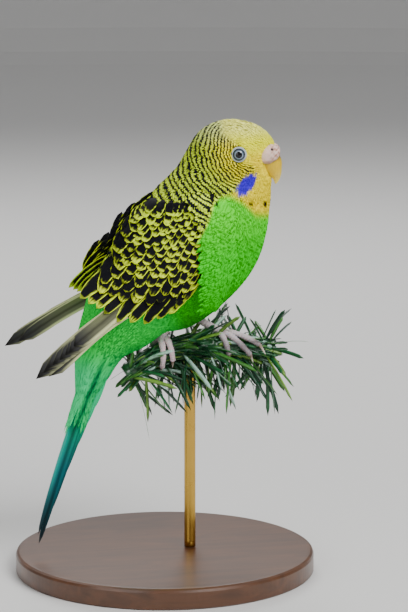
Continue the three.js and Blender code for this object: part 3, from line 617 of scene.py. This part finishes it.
def wing_feathers(side):
    """One folded wing: its primaries, secondaries and coverts as one mesh, and the arm under them."""
    place, outwards = wing_place(side), np.array([0.0, side, 0.0])
    plumes = Plumes()

    def tier(root, tip, width, lift, colour, **how):
        """Vanes from roots to tips, leaving out those over the shoulder and, higher up, off the body."""
        tip = tip + rng.normal(0, 0.45, tip.shape)
        if side > 0:
            tip[:, 1] -= 0.35 * np.maximum(tip[:, 1], 0) * smooth(tip[:, 0], 18, 40)
        slope = WING_SLOPE - (LEFT_RAISE if side > 0 else 0)
        tip_x = WRIST_X - tip[:, 0] * np.cos(slope) - tip[:, 1] * np.sin(slope)
        tip_z = WRIST_Z - tip[:, 0] * np.sin(slope) + tip[:, 1] * np.cos(slope)
        shown = (tip_x < COVERT_TIPS_X) & ((tip[:, 1] < 11) | (body_side(tip_x, tip_z) > 5))
        root, tip = root[shown], tip[shown]
        root[:, 0] = np.maximum(root[:, 0], (WRIST_X - ROOTS_X - root[:, 1] * np.sin(slope)) / np.cos(slope))
        laid = laid_vanes(place, outwards, root, tip, width, lift, **how)
        seat = np.column_stack([root[:, 0] / 110 + 0.1, root[:, 1] / 60 + 0.4])
        plumes.add(laid, colour(laid[1], laid[2], len(root)), seat)

    def primary(s, t, count):
        web = mixed(OLIVE, "#7C8C3C", smooth(t, 0.0, 0.6) * 0.5 * smooth(0.8 - s, 0, 0.4))
        web = mixed(web, "#2C2C30", smooth(s, 0.66, 0.97))[None] * rng.normal(1, 0.05, (count, 1, 1))
        edge = (smooth(-t, 0.7, 0.84) + smooth(t, 0.84, 0.94) * 0.7) * smooth(1.0 - s, 0, 0.25)
        shaft = np.exp(-((t / 0.07) ** 2)) * 0.6
        return mixed(mixed(web, PALE, np.clip(edge, 0, 1) * 0.9), "#1C1A12", shaft)

    k = np.arange(9)
    tip_p = np.where(k == 0, 82, 89.5 - 2.6 * k) + 2 * (side > 0)
    tips = np.column_stack([tip_p, np.where(k == 0, -3.2, -1.9 + 0.12 * k)])
    tier(np.column_stack([16 + 2.0 * k, -8.5 + 1.2 * k]), tips, 6.4, (-1.4, -1.6 + 1.5 * k / 8), primary,
         bow=4.3 - 0.6 * k, roll=-0.35, blunt=0.86)

    def row(count, line, reach, lean, width, lift, side_at, tip_at, edge):
        """Vanes whose tips lie on a line of (p, q), each reaching back to its root against the lean."""
        u = np.linspace(0, 1, count)
        tips = spline(u * (len(line) - 1), line)
        lean = np.radians(lean[0] + (lean[1] - lean[0]) * u)
        roots = tips - reach * np.column_stack([np.cos(lean), -np.sin(lean)])
        tier(roots, tips, width, lift, lambda s, t, shown: edged(s, t, shown, edge, side_at, tip_at),
             bow=0.4, roll=-0.3, blunt=0.5)

    # The secondaries' tips are the wing's lower edge. Fourteen rows of coverts rise from them to the
    # shoulder, each smaller than the one below it.
    line = np.array([[57, 10.5], [54, 3.5], [48, -6.2], [36.8, -13.0], [27, -12.2], [16.5, -8.5]])
    row(13, line, 21.0, (4, 30), 5.2, (-1.1, 0.0), 0.76, 0.945, mixed(LEMON, LIME, 0.15))
    line = np.array([[50, 15], [49, 8.5], [45.5, 2], [39, -3.6], [32, -7.1], [23.5, -8.6], [16.5, -6]])
    for j, share in enumerate(np.linspace(1, 0.52, 14)):
        row(round(12 / share), line, 12.5 * share, (22, 36), 5.1 * share**0.8, (-0.5 + 0.04 * j, 0.8 + 0.04 * j),
            0.87, 0.915 - 0.007 * j, mixed(LEMON, LIME, 0.02 * j))
        line = line + np.array([-2.75, 1.95]) * share
    name = "right" if side < 0 else "left"
    wing = plumes.make("wing_feathers_" + name, wing_feather)
    # The wing's arm under its coverts: a thin closed plate, dark as the down between the feathers.
    steps = 40
    u, v = np.meshgrid(np.linspace(0, 1, steps), circle(steps), indexing="ij")
    p = 6 + 40 * u
    low = -7.6 * np.sqrt(np.maximum(0.02, 1 - ((p - 32) / 27) ** 2))
    high = (14.5 if side < 0 else 10.5) * np.sqrt(np.maximum(0.02, 1 - ((p - 26) / 32) ** 2))
    q = (low + high) / 2 + (high - low) / 2 * np.cos(v)
    here, normal = facing(place, p.ravel(), q.ravel(), outwards)
    deep = (1.9 - 1.3 * u) * (1 - np.sin(v) * np.minimum(1, 3 * np.sqrt(u * (1 - u) + 0.01)))
    points = with_ends(here - normal * (0.5 + deep.reshape(-1, 1) * 0.9), steps)
    zero = np.zeros(len(points))
    mesh_piece("wing_arm_" + name, points, capped(steps, steps, side < 0), wing_feather,
               {"ground": np.tile(hex_rgb("#4A5228"), (len(points), 1))}, {"bar": zero, "barred": zero},
               {"Vane": points[:, [0, 2]] * 0.3})
    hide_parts("wing_" + name)


wing_feathers(-1)
wing_feathers(1)

# Breast-side feathers: long soft ones that lie back over the front edge of the folded wing.
roots = rings(5.3, 9.0, 0.8, 0.85)
beside_wing = (roots[:, 0] > 15) & (roots[:, 0] < 27) & (roots[:, 2] > 108) & (np.abs(roots[:, 1]) > 11)
roots = roots[beside_wing]
coat("breast_side_feathers", roots, coat_flow(roots) + [-0.7, 0, 0.1], rng.uniform(5.5, 9.5, len(roots)),
     rng.uniform(1.3, 2.0, len(roots)), (-0.8, 0.35), rows=7, over=lambda p: 3.9 * smooth(24 - p[:, 0], 0, 9))


# The tail: six pairs of long narrow feathers, the middle pair on top and longest, the outer ones
# shorter and a little lower, all drooping to their sides like a low roof. Coverts close its root.
TAIL_ROOT, TAIL_BEND, TAIL_TIP = (np.array(v) for v in ([-19.0, 101.0], [-35.5, 63.0], [-50.0, 13.0]))
TAIL_LENGTH = 94.1


def tail_place(p, q):
    """A point p mm down the tail's curve and q mm to its left, drooping with the square of q. The upper
    face is turned towards the bird's right on the way down."""
    t = np.clip(p / TAIL_LENGTH, 0, 1)[..., None]
    flat = (1 - t) ** 2 * TAIL_ROOT + 2 * t * (1 - t) * TAIL_BEND + t**2 * TAIL_TIP
    along = unit((1 - t) * (TAIL_BEND - TAIL_ROOT) + t * (TAIL_TIP - TAIL_BEND))
    flat = flat + along * (p[..., None] - t * TAIL_LENGTH)
    twist = np.radians(26) * smooth(p, 0, 50)
    c, d, droop = np.cos(twist), np.sin(twist), 0.045 * q**2
    rise = q * d - droop * c
    x, z = flat[..., 0] + along[..., 1] * rise, flat[..., 1] - along[..., 0] * rise
    return np.stack([x, q * c + droop * d, z], -1)


tail_plumes = Plumes()
TAIL_SHARES = [1.0, 0.87, 0.72, 0.6, 0.5, 0.42]
pair, side = (v.ravel() for v in np.meshgrid(np.arange(6)[::-1], [-1, 1], indexing="ij"))
shares = np.array(TAIL_SHARES)[pair] - 0.03 * ((pair == 0) & (side > 0))
level = 0.5 - 0.44 * pair - 0.21 * (side < 0)
roots = np.column_stack([0 * pair + 8, side * (0.7 + 0.5 * pair)])
tips = np.column_stack([TAIL_LENGTH * shares, side * (0.8 + 0.8 * pair)])
laid = laid_vanes(tail_place, np.array([-1.0, 0, 0.3]), roots, tips, 5.0, (level, level),
                  blunt=0.5, rows=26, thick=0.16)
down = laid[0][:, 2].reshape(len(pair), -1)  # each point's height
tail_colour = mixed("#04222C", "#007880", smooth(down, 14, 46))
tail_colour = mixed(tail_colour, "#00CC88", smooth(down, 40, 72))
inner = smooth(-laid[2] * side[:, None], -0.2, 0.5) * smooth(pair, 0, 2)[:, None]
inner = inner * smooth(down, 36, 50) * smooth(-down, -80, -66)
tail_colour = mixed(tail_colour, "#80E050", inner * 0.6)
tail_colour = mixed(tail_colour, "#02141A", np.exp(-((laid[2] / 0.09) ** 2)) * 0.6 + 0 * down)
across = side[:, None] * (0.75 + 0.65 * pair[:, None]) + laid[2] * 2.5
# Painted highlight: a bright cyan band of light over the bird's left half of the tail, partway down.
shine = smooth(across, -0.5, 1.0) * smooth(down, 26, 44) * smooth(-down, -72, -56)
tail_colour = mixed(tail_colour, "#10D8C0", shine * 0.45)
# Painted shadow: a dark crease line just to the bird's right of the middle feathers, and the right-hand feathers
# darker towards the tip.
painted_crease_shade = 0.7 * np.exp(-(((across + 1.3) / 0.9) ** 2)) + 0.5 * smooth(-across, 1.8, 3.4) * smooth(-down, -62, -50)
tail_colour = tail_colour * (1 - np.clip(painted_crease_shade, 0, 0.8))[..., None]
tail_plumes.add(laid, tail_colour, np.column_stack([side * 0.03 * pair + 0.5 + side * 0.02, 0.5 + 0 * pair]))
tail_feather = feather_material("tail_feathers", roughness=0.45, sheen=0.05, streak=0.14)
tail_mesh = tail_plumes.make("tail_feathers", tail_feather)
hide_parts("tail")
roots = rings(0.1, 2.4, 1.7, 1.7)
coat("tail_coverts", roots, coat_flow(roots), 15.0 * rng.uniform(0.75, 1.2, len(roots)),
     np.full(len(roots), 2.4), (-0.6, 0.35), rows=9, columns=3, blunt=0.2)


# Eyes: a dark pupil in a grey-blue iris under a wet cornea, in a ring of bare pale skin.
EYE_RADIUS, EYE_SUNK = 2.7, 1.1
eye_side = float(body_side(np.array([EYE[0]]), np.array([161.4]))[0]) * 0.985
wet_eye, shader = new_material("wet_eye", Roughness=0.06, IOR=1.38, Coat_Weight=0.3, Coat_Roughness=0.02)
plug(shader, "Base Color", node(wet_eye, "Attribute", {"attribute_name": "ground"})["Color"])
bare_skin, shader = new_material("bare_skin", Roughness=0.55, Subsurface_Weight=0.15, Subsurface_Scale=0.001)
plug(shader, "Base Color", node(bare_skin, "Attribute", {"attribute_name": "ground"})["Color"])
where = node(bare_skin, "TexCoord")["Object"]
wrinkle = node(bare_skin, "TexNoise", Vector=where, Scale=2200.0, Detail=4.0)["Fac"]
plug(shader, "Normal", node(bare_skin, "Bump", Height=wrinkle, Strength=0.5, Distance=0.0002)[0])
EYE_ROWS, EYE_SIDES, LID_ROWS, LID_SIDES, LID_FOLDS = 90, 64, 20, 120, 26
for name, side in (("right", -1), ("left", 1)):
    centre = np.array([EYE[0], side * (eye_side - EYE_SUNK), EYE[2]])
    polar = np.linspace(0.02, np.pi - 0.02, EYE_ROWS)
    radius = EYE_RADIUS * np.sin(polar)
    ball = np.vstack([around(np.column_stack([radius, EYE_RADIUS * np.cos(polar)]), EYE_SIDES),
                      [[0, 0, EYE_RADIUS], [0, 0, -EYE_RADIUS]]])
    front = np.where(polar < np.pi / 2, radius, 9.0)
    iris = mixed("#5F7080", "#2E3A46", smooth(front, 1.5, 2.0))
    iris = mixed(iris, "#8FA0AE", smooth(front, 1.24, 1.34) * smooth(-front, -1.6, -1.45))
    colour = mixed("#030304", iris, smooth(front, 1.2, 1.32))
    colour = mixed(colour, "#101418", smooth(front, 2.02, 2.2))
    colour = np.vstack([np.repeat(colour, EYE_SIDES, axis=0), colour[:1], colour[-1:]])
    eye = mesh_piece("eyeball_" + name, turned(ball[:, [0, 2, 1]] * [1, side, 1] + centre, 1.0),
                     capped(EYE_ROWS, EYE_SIDES, side > 0), wet_eye, {"ground": colour})
    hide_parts("eye_" + name)
    # The ring of bare skin: a rounded band with fine radial folds.
    tube_turn, turn = circle(LID_ROWS)[:, None], circle(LID_SIDES)
    major = 2.55 + 0.42 * np.cos(tube_turn) + 0.05 * np.sin(turn * LID_FOLDS) * (np.cos(tube_turn) < 0.9)
    high = 0.36 * np.sin(tube_turn) * (1 + 0.25 * np.sin(turn * LID_FOLDS + 1)) - 0.16 * np.cos(tube_turn)
    ring = np.stack([major * np.cos(turn), side * (EYE_SUNK - 0.05 + high), major * np.sin(turn)], -1)
    quads = grid_faces(LID_ROWS + 1, LID_SIDES, closed=True) % (LID_ROWS * LID_SIDES)
    shade = mixed("#65727C", "#B4C0C6", np.repeat(smooth(np.cos(tube_turn), -0.8, 0.3), LID_SIDES))
    mesh_piece("eyelid_" + name, turned(ring.reshape(-1, 3) + centre, 1.0), quads[:, :: int(side)], bare_skin,
               {"ground": shade})


# Bill: a short hooked upper half over a small lower one, horn over bone, growing from under the cere.
horn, shader = new_material(
    "bill_and_claw_horn", Roughness=0.38, Subsurface_Weight=0.1, Subsurface_Scale=0.0008
)
colour = node(horn, "Attribute", {"attribute_name": "ground"})["Color"]
where = node(horn, "Mapping", Vector=node(horn, "TexCoord")["Object"], Scale=(2600.0, 2600.0, 500.0))[0]
grain = node(horn, "TexNoise", Vector=where, Scale=1.0, Detail=3.0)["Fac"]
plug(shader, "Base Color", varied(horn, colour, grain, 0.88, 1.1))
plug(shader, "Normal", node(horn, "Bump", Height=grain, Strength=0.25, Distance=0.0001)[0])
# The halves' centre lines and sizes, root to tip: x, z, half depth, half width.
UPPER = np.array([[40.2, 162.2, 3.4, 3.9], [41.1, 159.4, 4.2, 4.2], [42.1, 156.8, 3.8, 3.6],
                  [43.1, 154.4, 2.5, 2.5], [43.5, 152.4, 1.3, 1.2], [43.2, 150.6, 0.3, 0.3]])
LOWER = np.array([[36.4, 158.4, 2.0, 3.2], [38.0, 155.6, 2.0, 2.9], [39.7, 153.4, 1.6, 2.2], [41.2, 152.0, 0.7, 1.1]])


def bill_half(name, table, node_name, root_colour, tip_colour):
    """A closed half of the bill from its table, darker at the root and with a ridge down its front."""
    rows, sides = 40, 48
    at = np.linspace(0, len(table) - 1, rows)
    here = spline(at, table)
    along = unit(np.gradient(here[:, :2], axis=0))
    front = np.column_stack([-along[:, 1], along[:, 0]])
    turn = circle(sides)
    ridge = 1 - 0.12 * np.abs(np.sin(turn)) ** 3
    flat = here[:, None, :2] + front[:, None] * (here[:, 2:3] * np.cos(turn) * ridge)[..., None]
    points = np.stack([flat[..., 0], here[:, 3:4] * np.sin(turn) * ridge, flat[..., 1]], -1).reshape(-1, 3)
    points = with_ends(points, sides)
    down = np.append(np.repeat(at / (len(table) - 1), sides), [0, 1])
    colour = mixed(root_colour, tip_colour, smooth(down, 0.45, 1.0))
    colour = mixed(colour, "#5E4E26", 0.8 * smooth(-down, -0.3, -0.16))
    made = mesh_piece(name, turned(points, 1.0), capped(rows, sides, flip=True), horn,
                      {"ground": colour})
    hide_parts(node_name)


bill_half("upper_bill", UPPER, "bill_upper", "#D8B400", "#F0D860")
bill_half("lower_bill", LOWER, "bill_lower", "#A88400", "#D8B830")

# Cere: two swollen lobes of bare skin over the bill's root, each with a nostril in a low rim.
LOBE_ROWS, LOBE_SIDES = 60, 90
polar = np.linspace(0.02, np.pi - 0.02, LOBE_ROWS)
ball = around(np.column_stack([np.sin(polar), np.cos(polar)]), LOBE_SIDES)
lobes = []
for side in (-1, 1):
    bumps = 1 + 0.02 * np.sin(ball[:, 0] * 9 + 1) * np.cos(ball[:, 2] * 7)
    lobe = ball * bumps[:, None] * [4.3, 3.2, 3.7]
    lobe[:, 2] += 0.22 * lobe[:, 0]
    nostril = np.linalg.norm((lobe - [1.3, side * 2.6, 2.3]), axis=1)
    lobe -= unit(lobe) * (0.9 * np.exp(-((nostril / 0.62) ** 2)))[:, None]
    lobe += unit(lobe) * (0.16 * np.exp(-(((nostril - 1.0) / 0.3) ** 2)))[:, None]
    lobe = np.column_stack([lobe + [40.6, side * 2.8, 162.2], nostril])
    lobes.append((np.vstack([lobe, lobe[[0, -LOBE_SIDES]]]), *capped(LOBE_ROWS, LOBE_SIDES)))
lobes, faces = one_mesh(lobes)
x, y, z, nostril = lobes.T
cloud = np.sin(x * 2.1 + 2) * np.sin(z * 2.7 + y) + 0.5 * np.sin(x * 5 - z * 4)
colour = mixed("#E8C8BC", "#B07C66", smooth(x - 41.0, -1.5, 2.5) * smooth(cloud, -0.6, 1.0))
colour = mixed(colour, "#8A6450", smooth(160.4 - z + 0.2 * (x - 40), 0.2, 1.2) * 0.6)
colour = mixed("#2A1A1A", colour, smooth(nostril, 0.45, 0.75))
cere = mesh_piece("cere_lobes", turned(lobes[:, :3], 1.0), faces, bare_skin,
                  {"ground": colour})
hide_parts("cere")


# Feet: two toes forward and two back, in rings of small scutes over pink skin, with curved horn claws.
BRANCH = np.array([[-15, 0, 77.6], [-6, 0, 83.4], [6, 0, 86.9], [24, 0, 86.9], [43, 0, 84.6]])
BRANCH_RADIUS, TOE_RADIUS = 4.2, 1.25
branch_line = spline(np.linspace(0, 4, 400), BRANCH)


def grip(x, degrees, off):
    """A point beside the branch at x, an angle round it from straight up towards the right side."""
    x, turn, off = np.broadcast_arrays(x, np.radians(degrees), off)
    reach = BRANCH_RADIUS + 0.3 + off
    height = np.interp(x, branch_line[:, 0], branch_line[:, 2])
    return np.stack([x, -reach * np.sin(turn), height + reach * np.cos(turn)], -1)


def tube(path, radius, sides=14, scutes=0, tall=0.06):
    """A closed round tube along a path, its rings square to it and carried on without a twist; scutes
    swell it in rings."""
    along = unit(np.gradient(path, axis=0))
    across = np.empty_like(path)
    across[0] = unit(np.cross(along[0], [0.31, 0.52, 0.79]))
    for i in range(1, len(path)):
        across[i] = unit(across[i - 1] - along[i] * (along[i] @ across[i - 1]))
    deep = np.cross(along, across)
    turn = circle(sides)
    run = np.linspace(0, 1, len(path))
    swell = radius * (1 + tall * (np.abs(np.sin(np.pi * scutes * run)) - 0.5)) if scutes else radius
    spoke = across[:, None] * np.cos(turn)[:, None] + deep[:, None] * np.sin(turn)[:, None]
    grid = path[:, None] + swell[:, None, None] * spoke
    start, end = path[0] - along[0] * radius[0] * 0.4, path[-1] + along[-1] * radius[-1] * 0.4
    return np.vstack([grid.reshape(-1, 3), start, end]), *capped(len(path), sides)


# For each foot: hip, ankle, and each toe's first and last place on the branch as x and degrees round it.
FEET = {
    "right": (
        [1.5, -6.0, 98.5],
        [-0.6, -0.9, 93.3],
        [((0.4, 12), (2.2, 118)), ((-1.6, 12), (-1.8, 136)), ((-2.2, -18), (-6.2, -112)), ((0.9, -18), (3.2, -138))],
    ),
    "left": (
        [10.5, 5.0, 99.5],
        [22.0, 0.8, 93.0],
        [((23.6, 14), (32.6, 104)), ((23.9, -6), (36.4, 62)), ((21.6, 16), (24.2, 108)), ((21.8, -22), (19.4, -116))],
    ),
}
CLAW_ROOT, CLAW_TIP, CLAW_SIDES = 0.72, 0.1, 14
for name, (hip, ankle, toes) in FEET.items():
    hip, ankle = np.array(hip), np.array(ankle)
    t = np.linspace(0, 1, 60)
    shank = tube(hip + (ankle - hip) * t[:, None], 1.4 + 0.25 * (t - 0.4) ** 2, 18, scutes=11, tall=0.14)
    h = np.linspace(-1, 1, 20)
    hub = tube(ankle + 1.4 * h[:, None] * unit(hip - ankle), 1.7 * np.sqrt(1 - (0.92 * h) ** 2) + 0.1, 18)
    parts = [shank, hub]
    for k, ((x0, a0), (x1, a1)) in enumerate(toes):
        path = grip(x0 + (x1 - x0) * t, a0 + (a1 - a0) * t, TOE_RADIUS + 0.06)
        path = np.vstack([ankle + (path[0] - ankle) * np.linspace(0, 1, 8)[:-1, None], path])
        u = np.linspace(0, 1, len(path))
        radius = (TOE_RADIUS + (0.95 - TOE_RADIUS) * u) * (1 + 0.07 * np.cos(u * 6 * np.pi))
        parts.append(tube(path, radius, 18, scutes=15, tall=0.16))
        c = np.linspace(0, 1, 24)
        sense = np.sign(a1 - a0)
        clear = TOE_RADIUS + 0.06 - 0.35 * c + 1.3 * c * c
        claw = grip(x1 + (x1 - x0) * 0.16 * c, a1 + sense * (34 * c - 1.0), clear)
        points, quads, caps = tube(claw, CLAW_ROOT + (CLAW_TIP - CLAW_ROOT) * c**1.2, CLAW_SIDES)
        shade = smooth(np.append(np.repeat(c, CLAW_SIDES), [0, 1]), 0.2, 0.9)
        made = mesh_piece(f"horn_claw_{name}_{k + 1}", points, [quads, caps], horn,
                          {"ground": mixed("#8A7468", "#E9E0CF", shade)})
        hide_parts(f"claw_{name}_{k + 1}")
    points, faces = one_mesh(parts)
    # Painted shade: the far, left foot gets a darker grey skin than the right, for the shadow it lies in.
    shade = mixed("#D9BFC6" if name == "right" else "#8E8286", "#F0E2E6", smooth(points[:, 2], 88, 93) * 0.5)
    foot = mesh_piece("scaled_foot_" + name, points, faces, bare_skin, {"ground": shade})
    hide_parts("foot_" + name)


# The perch: a cut of an artificial fir branch, two green wires twisted together, with flat needles cut
# from PVC film in five greens. Long ones stand out all round, and short ones lie along the stem.
fir, shader = new_material("pvc_fir_needles", Roughness=0.3, Specular_IOR_Level=0.5)
colour = node(fir, "Attribute", {"attribute_name": "ground"})["Color"]
cloud = node(fir, "TexNoise", Vector=node(fir, "TexCoord")["Object"], Scale=300.0, Detail=2.0)["Fac"]
plug(shader, "Base Color", varied(fir, colour, cloud, 0.75, 1.25))
STEM_ROWS, STEM_SIDES = 240, 36
turn = circle(STEM_SIDES)
line = spline(np.linspace(0, 4, STEM_ROWS), BRANCH)
along = unit(np.gradient(line, axis=0))
up = unit(np.cross([0, 1, 0], along))
run = np.append(0, np.cumsum(np.linalg.norm(np.diff(line, axis=0), axis=1)))
thick = 3.95 + 0.25 * np.cos(2 * (turn - run[:, None] * 0.9))
spoke = np.array([0, 1, 0]) * np.cos(turn)[:, None] + up[:, None] * np.sin(turn)[:, None]
stem_points = np.vstack([(line[:, None] + thick[..., None] * spoke).reshape(-1, 3), line[:1], line[-1:]])
stem = mesh_piece("fir_stem", stem_points, capped(STEM_ROWS, STEM_SIDES, flip=True), fir,
                  {"ground": np.tile(hex_rgb("#1F4A2A"), (len(stem_points), 1))})
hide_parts("branch")
long_ones, short_ones = 460, 520
count = long_ones + short_ones
is_long = np.arange(count) < long_ones
at = np.where(is_long, rng.uniform(0, 1, count) ** 0.75, rng.uniform(0.01, 0.94, count))
root_i = (at * (STEM_ROWS - 1)).astype(int)
angle = rng.uniform(0, 2 * np.pi, count)
radial = np.array([0, 1, 0]) * np.cos(angle)[:, None] + up[root_i] * np.sin(angle)[:, None]
forward = np.where(is_long, rng.normal(0.35, 0.45, count), np.sign(rng.normal(0.8, 1, count)) * 7)
aim = unit(radial + along[root_i] * forward[:, None] + rng.normal(0, 0.15, (count, 3)))
reach = np.where(is_long, rng.uniform(11, 23, count), rng.uniform(6, 10, count))
root = line[root_i] + radial * np.where(is_long, 3.0, 3.8)[:, None]
tip = root + aim * reach[:, None]
# Needles that would stand in the plumage, or in front of the feet, are left out.
inside = np.zeros(count, bool)
for share, room in ((1.0, 2.5), (0.5, 2.0)):
    spot = root + aim * (reach * share)[:, None]
    pushed, out_n, _ = onto_body(spot)
    inside |= ((spot - pushed) * out_n).sum(1) < room
at_feet = ((root[:, 0] > -8) & (root[:, 0] < 5.5)) | ((root[:, 0] > 19) & (root[:, 0] < 38))
at_feet &= (radial @ [0, -0.7, 0.7] > 0.1) & is_long
keep = ~inside & ~at_feet & (tip[:, 0] < 56)
root, aim, reach = root[keep], aim[keep], reach[keep]
count = len(root)
s, t, side, quads, ends = vane_shape(7, 2)
flat_way = unit(np.cross(aim, rng.normal(0, 1, (count, 3))))
face_way = np.cross(aim, flat_way)
curl = rng.normal(0, 0.10, count)
points = (root[:, None] + aim[:, None] * (reach[:, None] * s)[..., None]
          + flat_way[:, None] * (0.75 * t * outline(s, 0.93))[None, :, None]
          + face_way[:, None] * ((curl * reach)[:, None] * s**2 + 0.07 * side)[..., None])
points[..., 2] -= reach[:, None] * 0.12 * s**2
greens = np.array([hex_rgb(c) for c in ("#0F3F26", "#1B5A30", "#3C7A2A", "#6E9A3A", "#A9CDBD")])
pick = rng.choice(5, count, p=[0.34, 0.3, 0.2, 0.1, 0.06])
faces = [repeated(quads, count, len(s)), repeated(ends, count, len(s))]
mesh_piece("fir_needles", points.reshape(-1, 3), faces, fir,
           {"ground": np.repeat(greens[pick], len(s), axis=0)})


# The stand: a turned walnut base with a satin varnish, and one brass rod up to the branch.
walnut, shader = new_material("varnished_walnut", Roughness=0.35, Coat_Weight=0.3, Coat_Roughness=0.2)
where = node(walnut, "Mapping", Vector=node(walnut, "TexCoord")["Object"], Scale=(28.0, 160.0, 160.0))[0]
figure = node(walnut, "TexNoise", Vector=where, Scale=1.0, Detail=5.0, Distortion=1.2)["Fac"]
ramp = node(walnut, "ValToRGB", Fac=figure)
for stop, code in zip(walnut.node_tree.nodes[-1].color_ramp.elements, ("#2A170D", "#6B4226")):
    stop.color = (*hex_rgb(code), 1)
plug(shader, "Base Color", ramp[0])
profile = [(57.5, 0), (58, 0.5), (58, 6.6), (57.6, 7.5), (56.7, 7.95), (55.8, 8)]
points = np.vstack([around(profile, 160), [[0, 0, 0], [0, 0, 8]]])
base = mesh_piece("walnut_base", points, capped(len(profile), 160), walnut)
base.data.polygons.foreach_set("use_smooth", np.zeros(len(base.data.polygons), bool))
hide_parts("stand_base")
brass, shader = new_material("polished_brass", Metallic=1.0, Base_Color=(*hex_rgb("#C9A24A"), 1))
smudge = node(brass, "TexNoise", Vector=node(brass, "TexCoord")["Object"], Scale=180.0, Detail=3.0)["Fac"]
shine = node(brass, "MapRange", Value=smudge, From_Min=0.3, From_Max=0.7, To_Min=0.16, To_Max=0.3)[0]
plug(shader, "Roughness", shine)
rod_x, rod_foot, rod_radius = 10.0, 8.3, 2.2
rod_top = float(np.interp(rod_x, branch_line[:, 0], branch_line[:, 2])) - 4.4
height = np.linspace(rod_foot, rod_top, 30)
path = np.column_stack([0 * height + rod_x, 0 * height, height])
points, quads, caps = tube(path, 0 * height + rod_radius, 40)
points[-2, 2], points[-1, 2] = rod_foot, rod_top
rod = mesh_piece("brass_rod", points, [quads, caps], brass)
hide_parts("stand_rod")


# The floor and the light: a pale round sweep, and three large soft lamps under an open grey sky.
bend = np.linspace(0, np.pi / 2, 12)
sweep_r = np.concatenate([[0.02, 0.5, 1.2, 2.4], 2.4 + 0.8 * np.sin(bend[1:]), [3.2]])
sweep_z = np.concatenate([[0.0, 0.0, 0.0, 0.0], 0.8 - 0.8 * np.cos(bend[1:]), [3.4]])
sides = 96
points = np.vstack([around(np.column_stack([sweep_r, sweep_z]), sides), [[0, 0, 0]]])
quads = grid_faces(len(sweep_r), sides, closed=True)[:, ::-1].tolist()
floor_mesh = bpy.data.meshes.new("floor")
floor_mesh.from_pydata(points.tolist(), [], quads + pole_faces(np.arange(sides), len(points) - 1, False).tolist())
floor = bpy.data.objects.new("floor", floor_mesh)
bpy.context.scene.collection.objects.link(floor)
pale_floor, _ = new_material("painted_floor", Roughness=0.9, Base_Color=(*hex_rgb("#D9D8D6"), 1))
floor_mesh.materials.append(pale_floor)
room = bpy.data.worlds.new("room")
room.use_nodes = True
room.node_tree.nodes["Background"].inputs["Color"].default_value = (*hex_rgb("#E4E6EA"), 1)
room.node_tree.nodes["Background"].inputs["Strength"].default_value = 0.55
bpy.context.scene.world = room
for name, place, size, power in (
    ("key_lamp", (0.45, -0.8, 1.0), 0.7, 18.0),
    ("fill_lamp", (-0.9, -0.8, 0.5), 0.9, 5.0),
    ("rim_lamp", (0.1, 0.9, 0.9), 0.6, 8.0),
):
    lamp = bpy.data.objects.new(name, bpy.data.lights.new(name, "AREA"))
    bpy.context.scene.collection.objects.link(lamp)
    lamp.data.size, lamp.data.energy = size, power
    lamp.location = place
    aim = np.array([0.0, 0.0, 0.11]) - np.array(place)
    lamp.rotation_euler = (np.arctan2(np.hypot(aim[0], aim[1]), -aim[2]), 0, np.arctan2(-aim[0], aim[1]))
